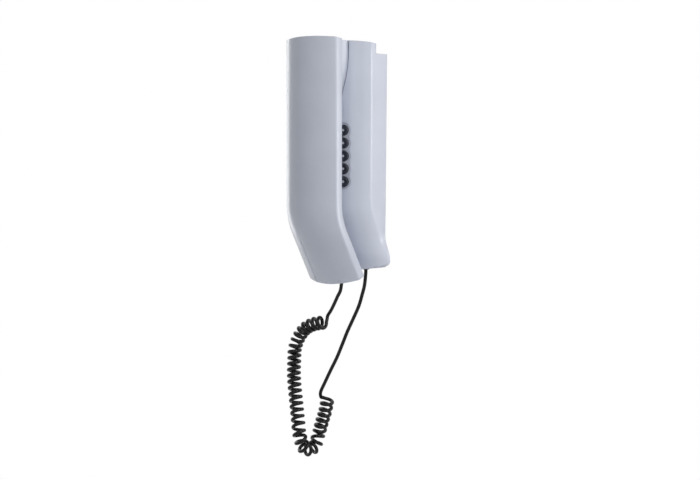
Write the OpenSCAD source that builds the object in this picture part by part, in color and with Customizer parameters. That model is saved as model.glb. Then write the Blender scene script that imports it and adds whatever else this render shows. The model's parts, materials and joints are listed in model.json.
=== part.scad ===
// Wall-mounted audio intercom: a cradle with five call keys, a handset that hangs in it and a curly cord.
// The origin is on the wall, +Y points into the wall, the front faces -Y and +Z is up.

/* [Base] */
// Depth of the straight rim at the wall
rim_d = 17; // [14:0.5:20]
// Width of the rim at its top
rim_top_w = 70.6; // [68:0.2:74]
// Width of the rim at its low end
rim_low_w = 66.6; // [64:0.2:70]
// Height of the rim's top above the wall mount
rim_top = 92.5; // [86:0.5:96]
// Depth of the rim's low end below the wall mount
rim_low = 74; // [72:0.5:76]
// Depth of the flange that runs from the rim up to the housing's top
flange_d = 2.3; // [1.5:0.1:3.5]
// Depth of the barrel-shaped housing in front of the rim
barrel_d = 24; // [22:0.5:28]
// Width of the barrel's bow at the top, which the rim's straight sides cut
barrel_top_w = 72; // [71:0.2:74]
// Width of the barrel's bow where the bend starts
barrel_low_w = 67.9; // [67.5:0.1:69]
// Height of the housing's front edge above the wall mount
base_top = 103.8; // [100:0.2:108]
// Fall of the housing's top face towards the wall, in degrees
base_top_tilt = 5.5; // [2:0.5:8]
// Depth of the housing's lowest point below the wall mount
base_bottom = 97.5; // [94:0.5:104]
// Rise of the bottom edge from its middle to its corners
smile_h = 3.6; // [2:0.2:5]
// Depth below the wall mount at which the crease between bow and sides starts to fade
merge_start = 35; // [32:1:38]
// Height over which that crease fades
merge_len = 18; // [15:1:22]
// Width that the foot gains on each side
foot_flare = 5.8; // [4:0.1:7]
// Depth below the wall mount at which the foot starts to flare
flare_start = 68; // [62:1:70]
// Height over which the foot flares
flare_len = 20; // [18:1:26]
// Radius of the foot's corners
foot_corner_r = 5; // [3:0.5:7]
// Angle by which the base leans back less than the handset
slant_lag = 3; // [0:0.5:5]
// Height over which the base's front bends
foot_blend = 14; // [8:1:20]
// Wall thickness of the housing
base_wall = 2.2; // [1.8:0.1:2.8]

/* [Rear plate] */
// Depth of the plate's low end below the wall mount
plate_low = 66; // [58:1:70]
// Thickness of the plate
plate_wall = 2.5; // [2:0.1:3]
// Distance between the two wall screws
screw_pitch = 83.5; // [70:0.5:100]
// Diameter of the wall screw holes
screw_hole_d = 4.4; // [3.6:0.1:5]
// Width of the window for the building's cable
window_w = 24; // [16:1:30]
// Height of the window for the building's cable
window_h = 22; // [14:1:24]
// Depth of the window's top edge below the wall mount
window_drop = 9; // [8:0.5:14]

/* [Handset] */
// Gap between the housing's front and the handset's back
grip_gap = 6; // [5:0.2:8]
// Width of the handset's front shell
handset_w = 60; // [57:0.5:64]
// Height of the front shell's highest edge above the wall mount
handset_top = 106; // [104:0.5:110]
// Fall of the handset's top face towards the wall, in degrees
top_tilt = 9; // [4:0.5:12]
// Rise of the barrel front over the shell's side edges
crown_h = 9; // [6:0.5:11]
// Depth of the front shell's straight side
skirt_d = 6.8; // [5.6:0.2:9]
// Bulge of the rear shell behind the seam
grip_h = 6.2; // [5.4:0.2:7]
// Inset of the rear shell's sides from the front shell's
grip_inset = 1.4; // [0.6:0.1:1.8]
// Wall thickness of both shells
shell_wall = 2.2; // [1.8:0.1:2.6]
// Depth below the wall mount at which the bend starts
bend_start = 39; // [34:1:44]
// Radius of the bend at the front shell's side edges
bend_r = 52; // [46:1:60]
// Angle by which the mouth end leans back towards the wall
slant = 29.5; // [25:0.5:32]
// Straight length of the mouth end below the bend
mouth_len = 46.5; // [44:0.5:52]
// Width of the band that a crease sets off along the mouth end's left edge
band_w = 14.5; // [12:0.5:16]
// Depth of that crease
crease_d = 0.9; // [0.5:0.1:1.1]

/* [Ear cup] */
// Width of the ear cup
cup_w = 42.5; // [40:0.5:44]
// Radius of the ear cup's bowed sides
cup_side_r = 120; // [110:2:140]
// Depth of the cup's widest place below the handset's top
cup_wide_drop = 12; // [10:0.5:16]
// Radius of the cup's round low end
cup_tip_r = 13; // [12:0.5:14]
// Step from the front shell's top down to the cup's top
cup_step = 1.5; // [0.6:0.1:2.5]
// Depth of the pocket that takes the cup
pocket_d = 9; // [8:0.2:10]
// Gap all round between the cup and its pocket
pocket_gap = 0.9; // [0.6:0.1:1.2]
// Gap between the cup's back and the pocket's floor
seat_gap = 0.6; // [0.4:0.1:1]
// Diameter of the earpiece capsule
ear_d = 31; // [26:0.5:32]
// Thickness of the earpiece capsule
ear_t = 11; // [8:0.5:12]
// Depth of the earpiece's centre below the handset's top
ear_drop = 28; // [26:0.5:30]
// Thickness of the earpiece's foam ring
gasket_t = 1.5; // [1:0.1:2.5]
// Diameter of each sound hole
sound_d = 2; // [1.4:0.1:2.4]
// Direction in which the handset lifts off, above the horizontal
lift_angle = 35; // [25:1:45]

/* [Mouthpiece] */
// Diameter of the microphone capsule
mic_d = 9.7; // [6:0.1:10]
// Thickness of the microphone capsule
mic_t = 6.5; // [4:0.1:7]
// Distance from the mouth end's bottom to the microphone
mic_up = 22; // [18:0.5:28]
// Wall of the microphone's rubber boot
boot_wall = 1.5; // [1:0.1:2]

/* [Keys] */
// Number of call keys in the column
key_count = 5; // [3:1:5]
// Diameter of a key
key_d = 9; // [8:0.1:9.4]
// Distance from key to key
key_pitch = 11.2; // [11:0.1:11.6]
// Height of the column's middle above the wall mount
key_mid = 3; // [0:0.5:5]
// Place of the column round the barrel, from its front
key_place = 30.5; // [28:0.5:34]
// Height of a key above the housing
key_proud = 1.5; // [1.4:0.1:2.2]
// Width of the dish in a key's top
dish_w = 6.8; // [6:0.1:7.4]
// Depth of the dish in a key's top
dish_d = 0.6; // [0.4:0.1:0.8]
// Travel of a key
key_travel = 1.2; // [0.8:0.1:1.4]
// Width of the key's flange beyond its side
key_flange = 0.7; // [0.5:0.1:0.7]
// Diameter of the bezel round each key
bezel_d = 12.5; // [12:0.1:13]
// Width of the bezel between two keys
bezel_waist = 10.4; // [9.8:0.1:11]
// Depth of the bezel's face below the housing's surface
bezel_sink = 0.4; // [0.3:0.05:0.5]
// Depth of the bezel's seat in the housing
bezel_seat = 1; // [0.9:0.05:1.1]
// Clearance of a key in its hole
key_gap = 0.3; // [0.2:0.05:0.4]

/* [Hook switch] */
// Height of the lever's pin above the wall mount
hook_z = 60; // [58:0.5:62]
// Distance of the lever's pin behind the pocket's floor
hook_back = 5.7; // [5.4:0.1:6.2]
// Height of the lever's nose above its pin
nose_rise = 10.5; // [10:0.5:12]
// Diameter of the lever's pin
hook_pin_d = 2; // [1.6:0.1:2.4]
// Width of the lever
lever_w = 6; // [5:0.5:7]
// Angle through which the lever swings out
hook_swing = 13; // [10:1:15]

/* [Electronics] */
// Gap between the main board's edges and the housing
board_gap = 0.6; // [0.4:0.1:2]
// Thickness of both boards
board_t = 1.6; // [1.2:0.1:2]
// Height of the main board's top above the wall mount
board_top = 86; // [80:1:88]
// Depth of the main board's low end below the wall mount
board_low = 58; // [54:1:60]
// Diameter of the ringer
ringer_d = 24; // [18:1:26]
// Height of the ringer
ringer_t = 6; // [4:0.5:7]
// Length of the line terminal block
terminal_w = 20; // [16:1:24]

/* [Cord] */
// Diameter of the cord
cord_d = 3.2; // [2.6:0.1:3.6]
// Radius of the curls at the middle of the cord
curl_r = 5; // [4:0.1:6]
// Place of the base's cord exit to the right of the middle
base_exit_x = 16.5; // [15:0.5:18]
// Place of the handset's cord exit to the right of the middle
handset_exit_x = 2; // [0:0.5:4]

/* [Hidden] */
$fn = 64;

white = [0.86, 0.88, 0.92];
grey = [0.55, 0.56, 0.60];
black = [0.05, 0.05, 0.07];
steel = [0.72, 0.72, 0.74];
board_green = [0.10, 0.35, 0.20];
terminal_green = [0.15, 0.45, 0.25];
capacitor_blue = [0.12, 0.13, 0.25];

// Facets of the large arcs
arc_fn = 180;
bow_fn = 240;
smile_fn = 360;
dish_fn = 128;

// A cut runs this far past the face that it opens
past = 2;
// Clearance between fixed pieces that slip into each other
fit_gap = 0.15;
// Clearance of a screw or a pin in its hole
screw_gap = 0.05;
// Clearance at which a moving piece rests on its seat
rest_gap = 0.3;
// Room beyond the part for cutting blocks
far = 300;
// Step in from the bend's surface to the mouth end's
hair = 0.05;
// Length by which the mouth end reaches into the bend
reach_in = 0.5;

base_front = rim_d + barrel_d;
base_slant = slant - slant_lag;
pocket_off = base_front - pocket_d;
cup_off = pocket_off + seat_gap;
grip_off = base_front + grip_gap;
seam_off = grip_off + grip_h;
edge_off = seam_off + skirt_d;
front_off = edge_off + crown_h;
bend_y = bend_r - edge_off;

barrel_steps = 40;
foot_steps = 20;

// Turns and bends of the handset's mouth end
module at_mouth() {
    translate([0, bend_y, -bend_start]) rotate([slant, 0, 0]) translate([0, -bend_y, 0]) children();
}

function mouth_point(p) = let (y = p[1] - bend_y)
    [p[0], bend_y + y * cos(slant) - p[2] * sin(slant), -bend_start + y * sin(slant) + p[2] * cos(slant)];

// Sweeps a cross-section in X and Y down the handset: straight, round the bend and straight again.
// The second cross-section is the first one less a hair, so that the mouth end reaches into the bend.
module swept(top, low) {
    translate([0, 0, -bend_start]) linear_extrude(top + bend_start) children(0);
    translate([0, bend_y, -bend_start]) rotate([0, 90, 0]) rotate([0, 0, -90])
        rotate_extrude(angle = slant) translate([bend_y, 0]) rotate(90) children(0);
    at_mouth() translate([0, 0, -low]) linear_extrude(low + reach_in) children(1);
}

// Centred rectangle in X that reaches from one distance off the wall to another
module strip(w, from_off, to_off) {
    translate([-w / 2, -to_off]) square([w, to_off - from_off]);
}

crown_r = (handset_w * handset_w / 4 + crown_h * crown_h) / (2 * crown_h);
module front_section(wall, back) {
    intersection() {
        translate([0, crown_r - front_off]) circle(crown_r - wall, $fn = arc_fn);
        strip(handset_w - 2 * wall, back, front_off);
    }
}

grip_w = handset_w - 2 * grip_inset;
grip_r = (grip_w * grip_w / 4 + grip_h * grip_h) / (2 * grip_h);
module rear_section(wall, front) {
    intersection() {
        translate([0, -grip_off - grip_r]) circle(grip_r - wall, $fn = arc_fn);
        strip(grip_w, grip_off, front);
    }
}

// Everything above the handset's sloping top face, lowered by a step
module above_handset(step) {
    translate([0, -front_off, handset_top - step]) rotate([-top_tilt, 0, 0])
        translate([-far / 2, -far / 2, 0]) cube([far, far, far]);
}

cup_wide_z = handset_top - cup_wide_drop;
// The low end's circle runs smoothly into both bowed sides
cup_tip_drop = sqrt(pow(cup_side_r - cup_tip_r, 2) - pow(cup_side_r - cup_w / 2, 2));
cup_tip_z = cup_wide_z - cup_tip_drop;
// Outline of the ear cup in X and Z: bowed sides, a round low end and an open top
module cup_outline(grow) {
    intersection() {
        translate([cup_side_r - cup_w / 2, cup_wide_z]) circle(cup_side_r + grow, $fn = bow_fn);
        translate([cup_w / 2 - cup_side_r, cup_wide_z]) circle(cup_side_r + grow, $fn = bow_fn);
        cup_reach(grow);
    }
    intersection() {
        translate([-cup_w / 2 - grow, cup_wide_z]) square([cup_w + 2 * grow, far]);
        cup_reach(grow);
    }
}
module cup_reach(grow) {
    translate([0, cup_tip_z]) circle(cup_tip_r + grow);
    translate([-cup_w, cup_tip_z - (cup_tip_r + grow) * cup_tip_drop / (cup_side_r - cup_tip_r)])
        square([2 * cup_w, far]);
}

// Prism of an outline in X and Z between two distances off the wall
module off_wall(from_off, to_off) {
    translate([0, -from_off, 0]) rotate([90, 0, 0]) linear_extrude(to_off - from_off) children();
}

// Rod along Y between two distances off the wall
module rod(r, x, z, from_off, to_off) {
    translate([x, -from_off, z]) rotate([90, 0, 0]) cylinder(r = r, h = to_off - from_off);
}

// Cradle peg: it slopes the way that the handset lifts off, so the handset can't fall forward
peg_w = 9;
peg_t = 3;
peg_len = 6.5;
peg_z = 49;
module peg(grow) {
    translate([0, -pocket_off, peg_z]) rotate([90 - lift_angle, 0, 0])
        translate([-peg_w / 2 - grow, -peg_t / 2 - grow, -base_wall])
        cube([peg_w + 2 * grow, peg_t + 2 * grow, peg_len + base_wall + grow]);
}

boss_r = 3.4;
pilot_r = 1.25;
head_r = 2.9;
head_t = 1.8;
shaft_r = pilot_r - screw_gap;
shaft_len = 8;
grip_screw_z = 14;
mouth_screw_z = -6;
head_sink = 1;

module handset_front_shell() {
    color(white) difference() {
        swept(handset_top + past, mouth_len) {
            front_section(0, seam_off);
            front_section(hair, seam_off + hair);
        }
        above_handset(0);
        difference() {
            swept(handset_top - shell_wall - skirt_d / 2, mouth_len - shell_wall) {
                front_section(shell_wall, seam_off - past);
                front_section(shell_wall + hair, seam_off - past + hair);
            }
            rod(boss_r, 0, grip_screw_z, seam_off, front_off);
            at_mouth() rod(boss_r, 0, mouth_screw_z, seam_off, front_off);
        }
        rod(pilot_r, 0, grip_screw_z, seam_off - past, seam_off + shaft_len);
        at_mouth() rod(pilot_r, 0, mouth_screw_z, seam_off - past, seam_off + shaft_len);
        at_mouth() gland_hole();
        at_mouth() crease();
    }
}

// Crease that sets a band off along the left edge of the mouth end's front
band_x = handset_w / 2 - band_w;
band_off = front_off - crown_r + sqrt(crown_r * crown_r - band_x * band_x);
crease_side = crease_d * sqrt(2);
module crease() {
    translate([-band_x, -band_off, -mouth_len - past]) rotate([0, 0, 45 - asin(band_x / crown_r)])
        translate([-crease_side / 2, -crease_side / 2, 0]) cube([crease_side, crease_side, mouth_len]);
}

// Strain relief's neck through the mouth end's bottom wall, on the seam
gland_neck_r = 2.9;
gland_flange_r = grip_h - shell_wall - 2 * fit_gap;
gland_flange_t = 1.2;
gland_out = 0.4;
gland_room = 1;
collar_wall = 1.1;
module gland_hole() {
    translate([handset_exit_x, -seam_off, -mouth_len - past])
        cylinder(r = gland_neck_r + screw_gap, h = shell_wall + 2 * past);
}

lip_h = 1.5;
lip_t = 1.6;
lip_w = handset_w - 2 * shell_wall - 2 * fit_gap;
// Lips along both sides that locate the front shell
module lips(inset) {
    for (side = [-1, 1])
        translate([side * (lip_w - lip_t) / 2, 0])
            strip(lip_t - 2 * inset, seam_off - lip_h + inset, seam_off + lip_h - inset);
}

sound_ring_r = [0, 4.4, 8.6];
sound_ring_n = [1, 6, 12];
ear_z = handset_top - ear_drop;
module handset_rear_shell() {
    color(white) difference() {
        union() {
            difference() {
                swept(handset_top + past, mouth_len) {
                    rear_section(0, seam_off);
                    rear_section(hair, seam_off - hair);
                }
                above_handset(cup_step);
                swept(handset_top - shell_wall - skirt_d / 2, mouth_len - shell_wall) {
                    rear_section(shell_wall, seam_off + past);
                    rear_section(shell_wall + hair, seam_off + past - hair);
                }
            }
            difference() {
                off_wall(cup_off, seam_off) cup_outline(0);
                above_handset(cup_step);
            }
            swept(handset_top - 2 * skirt_d, mouth_len - 2 * skirt_d) {
                lips(0);
                lips(hair);
            }
            for (in_mouth = [false, true])
                screw_place(in_mouth) rod_at(head_r + shell_wall / 2, grip_off + head_t / 2, seam_off);
        }
        off_wall(cup_off + shell_wall, seam_off + past) intersection() {
            cup_outline(-shell_wall);
            translate([-cup_w / 2, 0]) square([cup_w, handset_top - skirt_d]);
        }
        for (ring = [0 : len(sound_ring_n) - 1], k = [1 : sound_ring_n[ring]])
            let (turn = 360 * k / sound_ring_n[ring])
            rod(sound_d / 2, sound_ring_r[ring] * cos(turn), ear_z + sound_ring_r[ring] * sin(turn),
                cup_off - past, cup_off + shell_wall + past);
        for (in_mouth = [false, true]) {
            screw_place(in_mouth) rod_at(pilot_r + screw_gap, grip_off - past, seam_off + past);
            screw_place(in_mouth) rod_at(head_r + fit_gap, grip_off - past, grip_off + head_sink + head_t);
        }
        at_mouth() rod(sound_d / 2, 0, mic_z, grip_off - past, grip_off + shell_wall + past);
        at_mouth() gland_hole();
        peg(peg_gap);
    }
}
peg_gap = 0.6;

module screw_place(in_mouth) {
    if (in_mouth) at_mouth() translate([0, 0, mouth_screw_z]) children();
    else translate([0, 0, grip_screw_z]) children();
}
module rod_at(r, from_off, to_off) {
    rod(r, 0, 0, from_off, to_off);
}

module handset_screws() {
    color(steel) for (in_mouth = [false, true])
        screw_place(in_mouth) {
            rod_at(head_r, grip_off + head_sink, grip_off + head_sink + head_t);
            rod_at(shaft_r, grip_off + head_sink, seam_off + shaft_len - past);
        }
}

gasket_hole_r = 11;
module earpiece_gasket() {
    color(black) difference() {
        rod(ear_d / 2, 0, ear_z, cup_off + shell_wall, cup_off + shell_wall + gasket_t);
        rod(gasket_hole_r, 0, ear_z, cup_off, cup_off + shell_wall + gasket_t + past);
    }
}

magnet_r = 8;
magnet_t = 4;
module earpiece_capsule() {
    front = cup_off + shell_wall + gasket_t;
    color(grey) {
        rod(ear_d / 2, 0, ear_z, front, front + ear_t - magnet_t);
        rod(magnet_r, 0, ear_z, front, front + ear_t);
    }
}

mic_z = mic_up - mouth_len;
boot_r = mic_d / 2 + boot_wall;
mic_seat = grip_off + grip_r + fit_gap - sqrt(pow(grip_r - shell_wall - hair, 2) - boot_r * boot_r);
module microphone_boot() {
    color(black) at_mouth() difference() {
        rod(boot_r, 0, mic_z, mic_seat, mic_seat + mic_t + boot_wall);
        rod(mic_d / 2, 0, mic_z, mic_seat + boot_wall, mic_seat + mic_t + boot_wall + past);
        rod(sound_d / 2, 0, mic_z, mic_seat - past, mic_seat + mic_t);
    }
}

module microphone_capsule() {
    color(steel) at_mouth()
        rod(mic_d / 2 - screw_gap, 0, mic_z, mic_seat + boot_wall, mic_seat + boot_wall + mic_t);
}

// Rubber strain relief along -Z: a flange inside, a neck through the wall and a low collar outside
module gland(wall) {
    translate([0, 0, fit_gap]) cylinder(r = gland_flange_r, h = gland_flange_t);
    translate([0, 0, -wall - fit_gap]) cylinder(r = gland_neck_r, h = wall + 2 * fit_gap);
    translate([0, 0, -wall - fit_gap - gland_out])
        cylinder(r1 = cord_d / 2 + collar_wall, r2 = gland_flange_r - fit_gap, h = gland_out);
}

module handset_cord_gland() {
    color(black) at_mouth() translate([handset_exit_x, -seam_off, shell_wall - mouth_len]) gland(shell_wall);
}

// Cross-sections of the base's housing: bows and straight sides that taper, lean back and flare
function ease(t) = t <= 0 ? 0 : t >= 1 ? 1 : t * t * (3 - 2 * t);
function lean(z) = let (s = -bend_start - z)
    s <= 0 ? 0 : tan(base_slant) * (s < foot_blend ? s * s / (2 * foot_blend) : s - foot_blend / 2);
function rear_y(z) = min(0, lean(z) - rim_d);
function rim_half(z) = let (t = min(1, (rim_top - z) / (rim_top + rim_low)))
    (rim_top_w + t * (rim_low_w - rim_top_w)) / 2;
function side_w(z) = rim_half(z) + foot_flare * ease((-flare_start - z) / flare_len);
function bow_w(z) = let (
        t = min(1, (base_top - z) / (base_top + bend_start)),
        w = (barrel_top_w + t * (barrel_low_w - barrel_top_w)) / 2)
    w + (side_w(z) - w) * ease((-merge_start - z) / merge_len);
function half_w(z) = min(side_w(z), bow_w(z));
function barrel_depth(z, wall) = rear_y(z) + base_front - lean(z) - wall;
// The bow ends where it reaches the straight sides, which run back past the wall
function barrel_ring(z, wall) = let (
        side = half_w(z) - wall, bow = bow_w(z) - wall, last = asin(min(1, side / bow)))
    concat(
        [[-side, rear_y(z) + rim_d + 2 * past, z]],
        [for (i = [0 : barrel_steps]) let (a = last * (2 * i / barrel_steps - 1))
            [bow * sin(a), rear_y(z) - barrel_depth(z, wall) * cos(a), z]],
        [[side, rear_y(z) + rim_d + 2 * past, z]]);
// Half the housing's inner width at a height and a distance off the wall
function inner_half(z, off) = let (ahead = max(0, off + rear_y(z)) / barrel_depth(z, base_wall))
    min(half_w(z) - base_wall, (bow_w(z) - base_wall) * sqrt(1 - ahead * ahead));

// Joins rings of equally many points into one closed solid
module loft(rings) {
    n = len(rings[0]);
    last = len(rings) - 1;
    polyhedron(
        [for (ring = rings) each ring],
        concat(
            [[for (i = [n - 1 : -1 : 0]) i]],
            [for (k = [0 : last - 1], i = [0 : n - 1]) let (a = k * n + i, b = k * n + (i + 1) % n)
                each [[a, b, a + n], [b, b + n, a + n]]],
            [[for (i = [0 : n - 1]) last * n + i]]));
}
function barrel_levels(top, bottom) = concat(
    [top],
    [for (i = [0 : foot_steps]) -merge_start - (bottom - merge_start) * i / foot_steps]);
module barrel(top, bottom, wall) {
    loft([for (z = barrel_levels(top, bottom)) barrel_ring(z, wall)]);
}

// Outline of the rear plate, which fits into the straight part and down to the foot
function straight_half(z) = let (t = (base_top - z) / (base_top + merge_start))
    half_w(base_top) + t * (half_w(-merge_start) - half_w(base_top));
module plate_outline(wall) {
    top = rim_top - wall;
    right = concat(
        [[straight_half(top) - wall, top]],
        [for (z = barrel_levels(base_top, base_bottom))
            if (z < base_top && z > max(-plate_low, -merge_start - merge_len)) [half_w(z) - wall, z]],
        [[half_w(-plate_low) - wall, -plate_low]]);
    polygon(concat(right, [for (i = [len(right) - 1 : -1 : 0]) [-right[i][0], right[i][1]]]));
}
// Whole housing as a block: above the rim only the flange is left behind the barrel
module housing_form(top, bottom, wall) {
    difference() {
        barrel(top, bottom, wall);
        translate([-far / 2, flange_d - rim_d - wall, rim_top - wall]) cube([far, far, far]);
    }
}

// Front outline of the base: a smiling bottom edge with round corners
foot_half = rim_low_w / 2 + foot_flare;
smile_r = (foot_half * foot_half + smile_h * smile_h) / (2 * smile_h);
module base_outline() {
    difference() {
        union() {
            translate([0, smile_r - base_bottom]) circle(smile_r, $fn = smile_fn);
            translate([-far / 2, 0]) square([far, far]);
        }
        for (side = [-1, 1])
            translate([side * (foot_half - foot_corner_r), smile_h - base_bottom + foot_corner_r])
                difference() {
                    translate([min(0, side) * 2 * foot_corner_r, -2 * foot_corner_r])
                        square(2 * foot_corner_r);
                    circle(foot_corner_r);
                }
    }
}

// Frame of the key column: its Z points out of the housing, its Y up the column
key_half_w = bow_w(key_mid);
key_x = key_half_w * sin(key_place);
key_off = rim_d + barrel_d * cos(key_place);
key_tilt = atan(tan(key_place) * barrel_d / key_half_w);
module on_flank(up) {
    translate([key_x, -key_off, key_mid + up]) rotate([0, 0, key_tilt]) rotate([90, 0, 0]) children();
}
function key_up(i) = ((key_count + 1) / 2 - i) * key_pitch;
column_h = (key_count - 1) * key_pitch;

module pod(d, waist) {
    for (i = [1 : key_count])
        translate([0, key_up(i)]) circle(d / 2);
    translate([-waist / 2, -column_h / 2]) square([waist, column_h]);
}

// Straight part of the barrel, a depth below its surface
module flank(depth) {
    loft([barrel_ring(base_top + past, depth), barrel_ring(-merge_start, depth)]);
}
// Block through the flank in the outline of the key field
module key_field(grow) {
    on_flank(0) translate([0, 0, -board_drop]) linear_extrude(2 * board_drop)
        pod(bezel_d + 2 * grow, bezel_waist + 2 * grow);
}

mat_t = 1.2;
flange_t = 1;
room_gap = 1;
mat_drop = base_wall + rest_gap + flange_t + key_travel + rest_gap;
board_drop = mat_drop + mat_t;
key_board_w = 15;
key_board_h = column_h + 2 * bezel_d;
key_post_r = 2.6;
key_post_inset = 0.6;
key_post_up = column_h / 2 + bezel_d - key_post_r - key_post_inset;
key_room = key_d + 2 * key_flange + 2 * room_gap;

// Main board and what stands on it, behind the housing's posts
board_back = 2;
board_off = rim_d - board_back;
board_w = 2 * (min(inner_half(-merge_start, board_off), inner_half(-board_low, board_off)) - board_gap);
board_post_r = 2.6;
board_post_inset = 0.4;
board_post_x = board_w / 2 - board_post_r - board_post_inset;
board_post_drop = 8;
board_post_rise = 12;
board_post_z = [board_top - board_post_drop, board_post_rise - board_low];

hook_off = pocket_off - base_wall - hook_back;
cheek_gap = 0.4;
cheek_t = 2;
cheek_h = 3;
slot_top = 2.4;
slot_low = 4.4;

module base_housing() {
    color(white) {
        hollow_housing();
        peg(0);
    }
}

module hollow_housing() {
    difference() {
        intersection() {
            housing_form(base_top + past, base_bottom + past, 0);
            off_wall(0, far) base_outline();
        }
        translate([0, -base_front, base_top]) rotate([-base_top_tilt, 0, 0])
            translate([-far / 2, -far / 2, 0]) cube([far, far, far]);
        difference() {
            housing_form(base_top - 2 * base_wall - past, base_bottom - smile_h - base_wall, base_wall);
            off_wall(pocket_off - base_wall, far) cup_outline(pocket_gap + base_wall);
            for (x = [-1, 1], z = board_post_z)
                rod(board_post_r, x * board_post_x, z, board_off, far);
            for (up = [-1, 1])
                on_flank(up * key_post_up) translate([0, 0, -board_drop]) cylinder(r = key_post_r, h = far);
            for (side = [-1, 1])
                hook_cheek(side);
        }
        off_wall(pocket_off, far) cup_outline(pocket_gap);
        for (i = [1 : key_count])
            on_flank(key_up(i)) translate([0, 0, -base_wall - past])
                cylinder(r = key_d / 2 + key_gap, h = far);
        difference() {
            key_field(fit_gap);
            flank(bezel_seat);
        }
        on_flank(0) translate([-key_room / 2, -column_h / 2 - key_room / 2, -board_drop])
            cube([key_room, column_h + key_room, board_drop - base_wall]);
        for (up = [-1, 1])
            on_flank(up * key_post_up) translate([0, 0, -board_drop - past])
                cylinder(r = pilot_r, h = board_drop);
        for (x = [-1, 1], z = board_post_z)
            rod(pilot_r, x * board_post_x, z, board_off - past, board_off + shaft_len - past);
        translate([-lever_w / 2 - cheek_gap, -pocket_off - past, hook_z + nose_rise - slot_low])
            cube([lever_w + 2 * cheek_gap, base_wall + 2 * past, slot_low + slot_top]);
        translate([-far / 2, -hook_off, hook_z]) rotate([0, 90, 0])
            intersection() {
                cylinder(r = hook_pin_d / 2 + screw_gap, h = far);
                translate([-far / 2, -far / 2, far / 2 - lever_w]) cube([far, far, 2 * lever_w]);
            }
        translate([base_exit_x, -base_exit_off, -base_bottom - past])
            cylinder(r = gland_neck_r + screw_gap, h = smile_h + base_wall + 2 * past);
        translate([base_exit_x, -base_exit_off, -base_bottom - past])
            cylinder(r = gland_flange_r, h = past + base_exit_sink);
        translate([0, -cover_off, -base_bottom - past])
            cylinder(r = pilot_r + 2 * fit_gap, h = smile_h + base_wall + 2 * past);
        translate([0, -cover_off, -base_bottom - past])
            cylinder(r = head_r + fit_gap, h = past + cover_sink + head_t);
    }
}

module hook_cheek(side) {
    translate([side * (lever_w / 2 + cheek_gap + cheek_t / 2), -hook_off, hook_z]) rotate([0, 90, 0])
        cylinder(r = cheek_h, h = cheek_t, center = true);
    translate([side * (lever_w / 2 + cheek_gap + cheek_t / 2) - cheek_t / 2, -pocket_off, hook_z - cheek_h])
        cube([cheek_t, pocket_off - hook_off, 2 * cheek_h]);
}

// Cord exit and cover screw in the foot
base_exit_off = 7;
base_exit_sink = 0.8;
floor_top = smile_h + base_wall - base_bottom;
cover_off = 6;
cover_sink = 1.5;
cover_boss_w = 9;
cover_boss_h = 10;

// Rear plate: it fits into the rim, and a tongue reaches down into the foot
tongue_w = 54;
tongue_end = base_bottom - smile_h - base_wall - fit_gap;
module rear_plate() {
    color(white) difference() {
        union() {
            off_wall(0, plate_wall) plate_outline(base_wall + fit_gap);
            translate([-tongue_w / 2, -plate_wall, -tongue_end])
                cube([tongue_w, plate_wall, tongue_end - plate_low + past]);
            translate([-cover_boss_w / 2, -cover_off - cover_boss_w / 2, -tongue_end])
                cube([cover_boss_w, cover_off + cover_boss_w / 2, cover_boss_h]);
        }
        for (end = [-1, 1])
            rod(screw_hole_d / 2, 0, end * screw_pitch / 2, -past, rim_d);
        translate([-window_w / 2, -rim_d, -window_drop - window_h]) cube([window_w, rim_d + past, window_h]);
        translate([0, -cover_off, -base_bottom])
            cylinder(r = pilot_r, h = base_bottom - tongue_end + cover_boss_h + past);
        translate([base_exit_x, -base_exit_off, -tongue_end - past])
            cylinder(r = gland_flange_r + gland_room, h = 2 * cover_boss_h);
    }
}

module cover_screw() {
    color(steel) translate([0, -cover_off, cover_sink - base_bottom]) {
        cylinder(r = head_r, h = head_t);
        cylinder(r = shaft_r, h = base_bottom - tongue_end + cover_boss_h - cover_sink);
    }
}

module base_cord_gland() {
    color(black) translate([base_exit_x, -base_exit_off, floor_top])
        gland(smile_h + base_wall - base_exit_sink);
}

// Curved frame round the keys, sunk into the housing's surface
module key_bezel() {
    color(grey) difference() {
        intersection() {
            key_field(0);
            flank(bezel_sink);
        }
        flank(bezel_seat);
        for (i = [1 : key_count])
            on_flank(key_up(i)) translate([0, 0, -board_drop])
                cylinder(r = key_d / 2 + key_gap, h = 2 * board_drop);
    }
}

dish_r = (dish_w * dish_w / 4 + dish_d * dish_d) / (2 * dish_d);
module key(i) {
    low = -base_wall - rest_gap - flange_t;
    color(black) on_flank(key_up(i)) {
        difference() {
            translate([0, 0, low]) cylinder(r = key_d / 2, h = key_proud - low);
            translate([0, 0, key_proud - dish_d + dish_r]) sphere(dish_r, $fn = dish_fn);
        }
        translate([0, 0, low]) cylinder(r = key_d / 2 + key_flange, h = flange_t);
    }
}

// Silicone mat with a hollow dome under each key
dome_r = 3;
dome_hole_r = 1.6;
dome_roof = 0.4;
module key_mat() {
    color(grey) on_flank(0) translate([0, 0, -board_drop]) difference() {
        union() {
            translate([-key_room / 2 + fit_gap, -column_h / 2 - key_room / 2 + fit_gap, 0])
                cube([key_room - 2 * fit_gap, column_h + key_room - 2 * fit_gap, mat_t / 2]);
            for (i = [1 : key_count])
                translate([0, key_up(i), 0]) cylinder(r = dome_r, h = mat_t);
        }
        for (i = [1 : key_count])
            translate([0, key_up(i), -past]) cylinder(r = dome_hole_r, h = mat_t - dome_roof + past);
    }
}

module key_board() {
    color(board_green) on_flank(0) translate([-key_board_w / 2, -key_board_h / 2, -board_drop - board_t])
        difference() {
            cube([key_board_w, key_board_h, board_t]);
            for (up = [-1, 1])
                translate([key_board_w / 2, key_board_h / 2 + up * key_post_up, -past])
                    cylinder(r = pilot_r + screw_gap, h = board_t + 2 * past);
        }
}

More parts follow.
